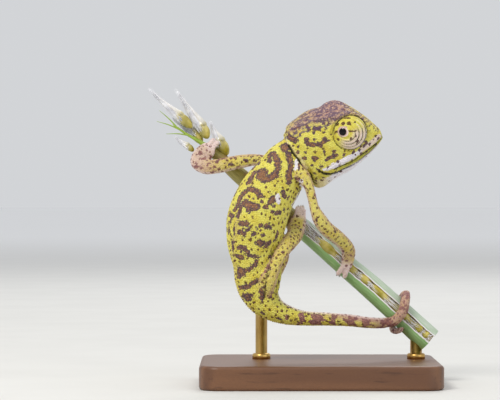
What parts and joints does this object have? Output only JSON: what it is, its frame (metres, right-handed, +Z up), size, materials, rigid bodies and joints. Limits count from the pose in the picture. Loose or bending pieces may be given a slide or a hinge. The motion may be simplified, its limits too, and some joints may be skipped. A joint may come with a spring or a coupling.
{
  "type": "chameleon model",
  "caption": "Still life-size model of a young flap-necked chameleon gripping a cut grass stem, held over a flat base by two short rods.",
  "frame": {"origin": "centre of the stand base's underside", "axes": "+Z up; +X along the way the head points, which is the long side of the base; the animal's right side faces -Y"},
  "size_m": [0.0368, 0.022, 0.0374],
  "materials": {
    "skin": "fine granular scales, satin",
    "eye": "wet gloss",
    "stem": "smooth leaf sheath, satin",
    "grain": "smooth seed husk",
    "base": "dark oiled walnut",
    "rod": "brushed"
  },
  "bodies": {
    "root": {"belly": "skin", "chest": "skin", "eye_turret_left": "skin", "eye_turret_right": "skin", "eyeball_left": "eye", "eyeball_right": "eye", "foot_left_inner": "skin", "foot_left_outer": "skin", "foot_right_inner": "skin", "foot_right_outer": "skin", "forearm_left": "skin", "forearm_right": "skin", "hand_left_inner": "skin", "hand_left_outer": "skin", "hand_right_inner": "skin", "hand_right_outer": "skin", "head": "skin", "lower_jaw": "skin", "neck": "skin", "pelvis": "skin", "perch_culm": "stem", "perch_grain_1": "grain", "perch_grain_2": "grain", "perch_grain_3": "grain", "perch_grain_4": "grain", "perch_grain_5": "grain", "perch_grain_6": "grain", "perch_rachis": "stem", "perch_sheath": "stem", "perch_spikelet_1": "grain", "perch_spikelet_2": "grain", "perch_spikelet_3": "grain", "perch_spikelet_4": "grain", "perch_spikelet_5": "grain", "shank_left": "skin", "shank_right": "skin", "stand_base": "base", "stand_rod_1": "rod", "stand_rod_2": "rod", "tail_1": "skin", "tail_2": "skin", "tail_3": "skin", "tail_4": "skin", "tail_5": "skin", "thigh_left": "skin", "thigh_right": "skin", "upper_arm_left": "skin", "upper_arm_right": "skin"}
  },
  "joints": []
}
